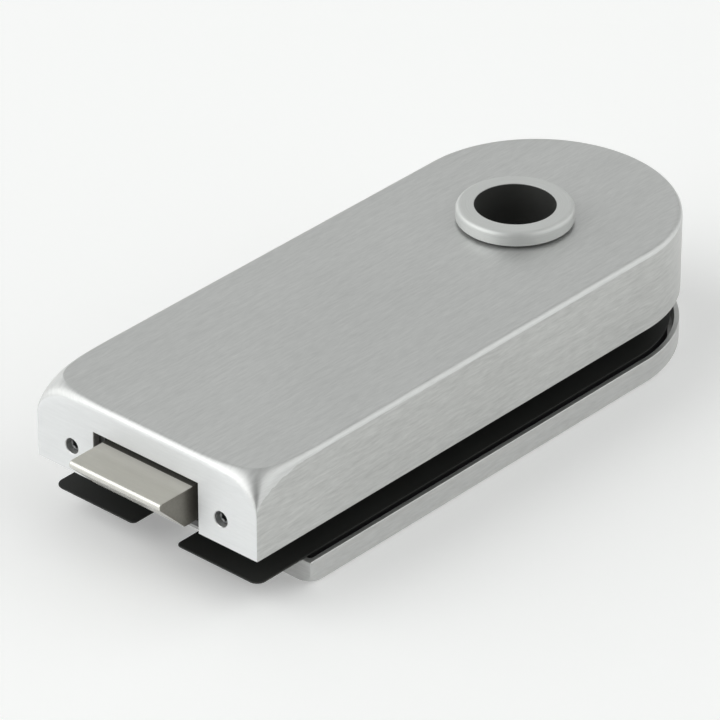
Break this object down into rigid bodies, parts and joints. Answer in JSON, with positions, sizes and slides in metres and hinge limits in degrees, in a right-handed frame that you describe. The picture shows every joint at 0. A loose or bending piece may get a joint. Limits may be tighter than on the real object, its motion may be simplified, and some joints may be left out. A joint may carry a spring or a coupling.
{
  "type": "glass door lock",
  "caption": "Lever latch lock for a frameless glass door: half-round aluminium case with spring latch and lever ring, clamped through the pane to a flat counterplate.",
  "frame": {"origin": "on the lever axis, at the counterplate's outer face on which the lock lies", "axes": "+Z along the lever axis from the counterplate to the case, -X the way the latch points, +X towards the round end, Y across the case"},
  "size_m": [0.1907, 0.072, 0.0425],
  "materials": {
    "case_aluminium": "brushed and anodised, grain along the case",
    "ring_aluminium": "turned satin",
    "black_plastic": "matte",
    "black_layer": "matte, smooth",
    "black_steel": "black coated",
    "latch_nickel": "satin nickel plated",
    "zinc_steel": "zinc plated sheet",
    "follower_steel": "sintered",
    "screw_steel": "zinc plated",
    "spring_steel": "drawn wire",
    "cast_zinc": "die-cast zinc, matte",
    "bearing_bronze": "sintered bronze"
  },
  "bodies": {
    "housing": {"case_cover": "case_aluminium", "handle_ring": "ring_aluminium", "handle_bush": "black_plastic", "ring_circlip": "spring_steel", "cover_screws": "screw_steel", "base_plate": "zinc_steel", "front_guide": "cast_zinc", "guide_screws": "screw_steel", "latch_spring": "spring_steel", "spring_post": "screw_steel", "spring_rod": "screw_steel", "tail_guide": "cast_zinc", "follower_spring": "spring_steel", "plunger_block": "cast_zinc", "stop_pins": "screw_steel", "lower_bearing": "bearing_bronze", "upper_bearing": "bearing_bronze", "mechanism_lid": "zinc_steel", "lid_pillars": "screw_steel", "lid_screws": "screw_steel", "case_gasket": "black_layer", "intermediate_plate": "black_layer", "counterplate": "case_aluminium", "counter_carrier": "black_steel", "carrier_screws": "screw_steel", "clamp_screws": "screw_steel", "glass_sleeves": "black_plastic", "hub_sleeve": "black_plastic", "counter_bush": "black_plastic"},
    "latch": {"latch_bolt": "latch_nickel", "latch_tail": "zinc_steel", "tail_rivets": "screw_steel"},
    "follower": {"follower": "follower_steel", "drive_pin": "screw_steel"},
    "plunger": {"spring_plunger": "screw_steel"}
  },
  "joints": [
    {"name": "latch_slide", "type": "slide", "parent": "housing", "child": "latch", "axis": [1, 0, 0], "range_m": [0, 0.0105], "stiffness_N_per_m": 1500, "springref_m": -0.008, "deforming": ["latch_spring"]},
    {"name": "follower_turn", "type": "hinge", "parent": "housing", "child": "follower", "pos_m": [0, 0, 0.0236], "axis": [0, 0, 1], "range_deg": [0, 35]},
    {"name": "plunger_slide", "type": "slide", "parent": "housing", "child": "plunger", "axis": [-1, 0, 0], "range_m": [0, 0.0092], "deforming": ["follower_spring"]}
  ],
  "couplings": [
    {"joint": "follower_turn", "follows": "latch_slide", "rad_per_m": 58.17},
    {"joint": "plunger_slide", "follows": "latch_slide", "ratio": 0.8743}
  ]
}
